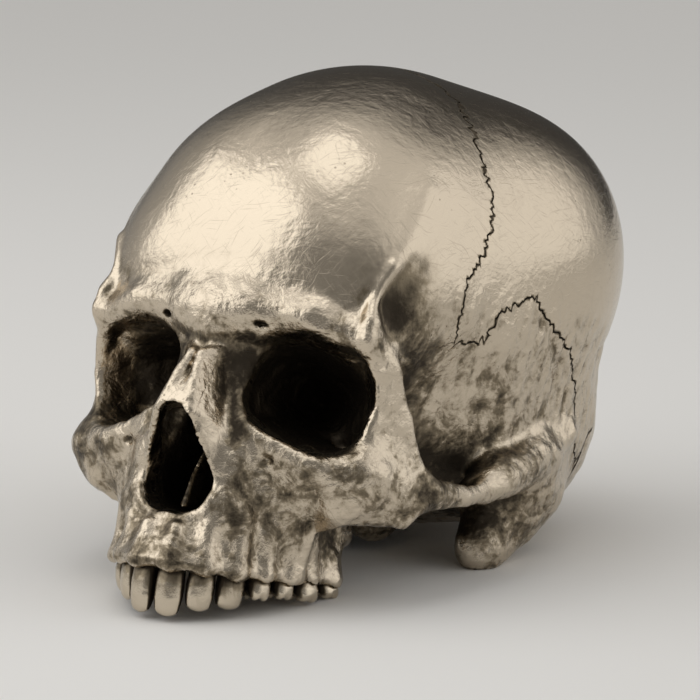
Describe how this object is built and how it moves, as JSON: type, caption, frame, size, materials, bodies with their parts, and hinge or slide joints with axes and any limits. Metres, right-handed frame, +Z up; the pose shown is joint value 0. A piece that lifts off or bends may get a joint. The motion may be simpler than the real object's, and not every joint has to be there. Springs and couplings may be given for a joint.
{
  "type": "skull decoration",
  "caption": "Life-size metal skull ornament with upper teeth and no lower jaw, cast in hollow bones that meet at their sutures; it rests on its molars and mastoids.",
  "frame": {"origin": "on the ground under the middle of the skull's box", "axes": "+Z up as it rests, -Y the way the face looks, +X the skull's own left"},
  "size_m": [0.1472, 0.2134, 0.156],
  "materials": {
    "antique_metal": "antiqued, polished high spots over a dark patina",
    "tooth_metal": "antiqued, worn bright on the crowns"
  },
  "bodies": {
    "root": {"frontal_bone": "antique_metal", "parietal_left": "antique_metal", "parietal_right": "antique_metal", "occipital_bone": "antique_metal", "temporal_left": "antique_metal", "temporal_right": "antique_metal", "sphenoid": "antique_metal", "zygomatic_left": "antique_metal", "zygomatic_right": "antique_metal", "maxilla_left": "antique_metal", "maxilla_right": "antique_metal", "nasal_left": "antique_metal", "nasal_right": "antique_metal", "vomer": "antique_metal", "incisor_central_left": "tooth_metal", "incisor_central_right": "tooth_metal", "incisor_lateral_left": "tooth_metal", "incisor_lateral_right": "tooth_metal", "canine_left": "tooth_metal", "canine_right": "tooth_metal", "premolar_first_left": "tooth_metal", "premolar_first_right": "tooth_metal", "premolar_second_left": "tooth_metal", "premolar_second_right": "tooth_metal", "molar_first_left": "tooth_metal", "molar_first_right": "tooth_metal", "molar_second_left": "tooth_metal", "molar_second_right": "tooth_metal"}
  },
  "joints": []
}
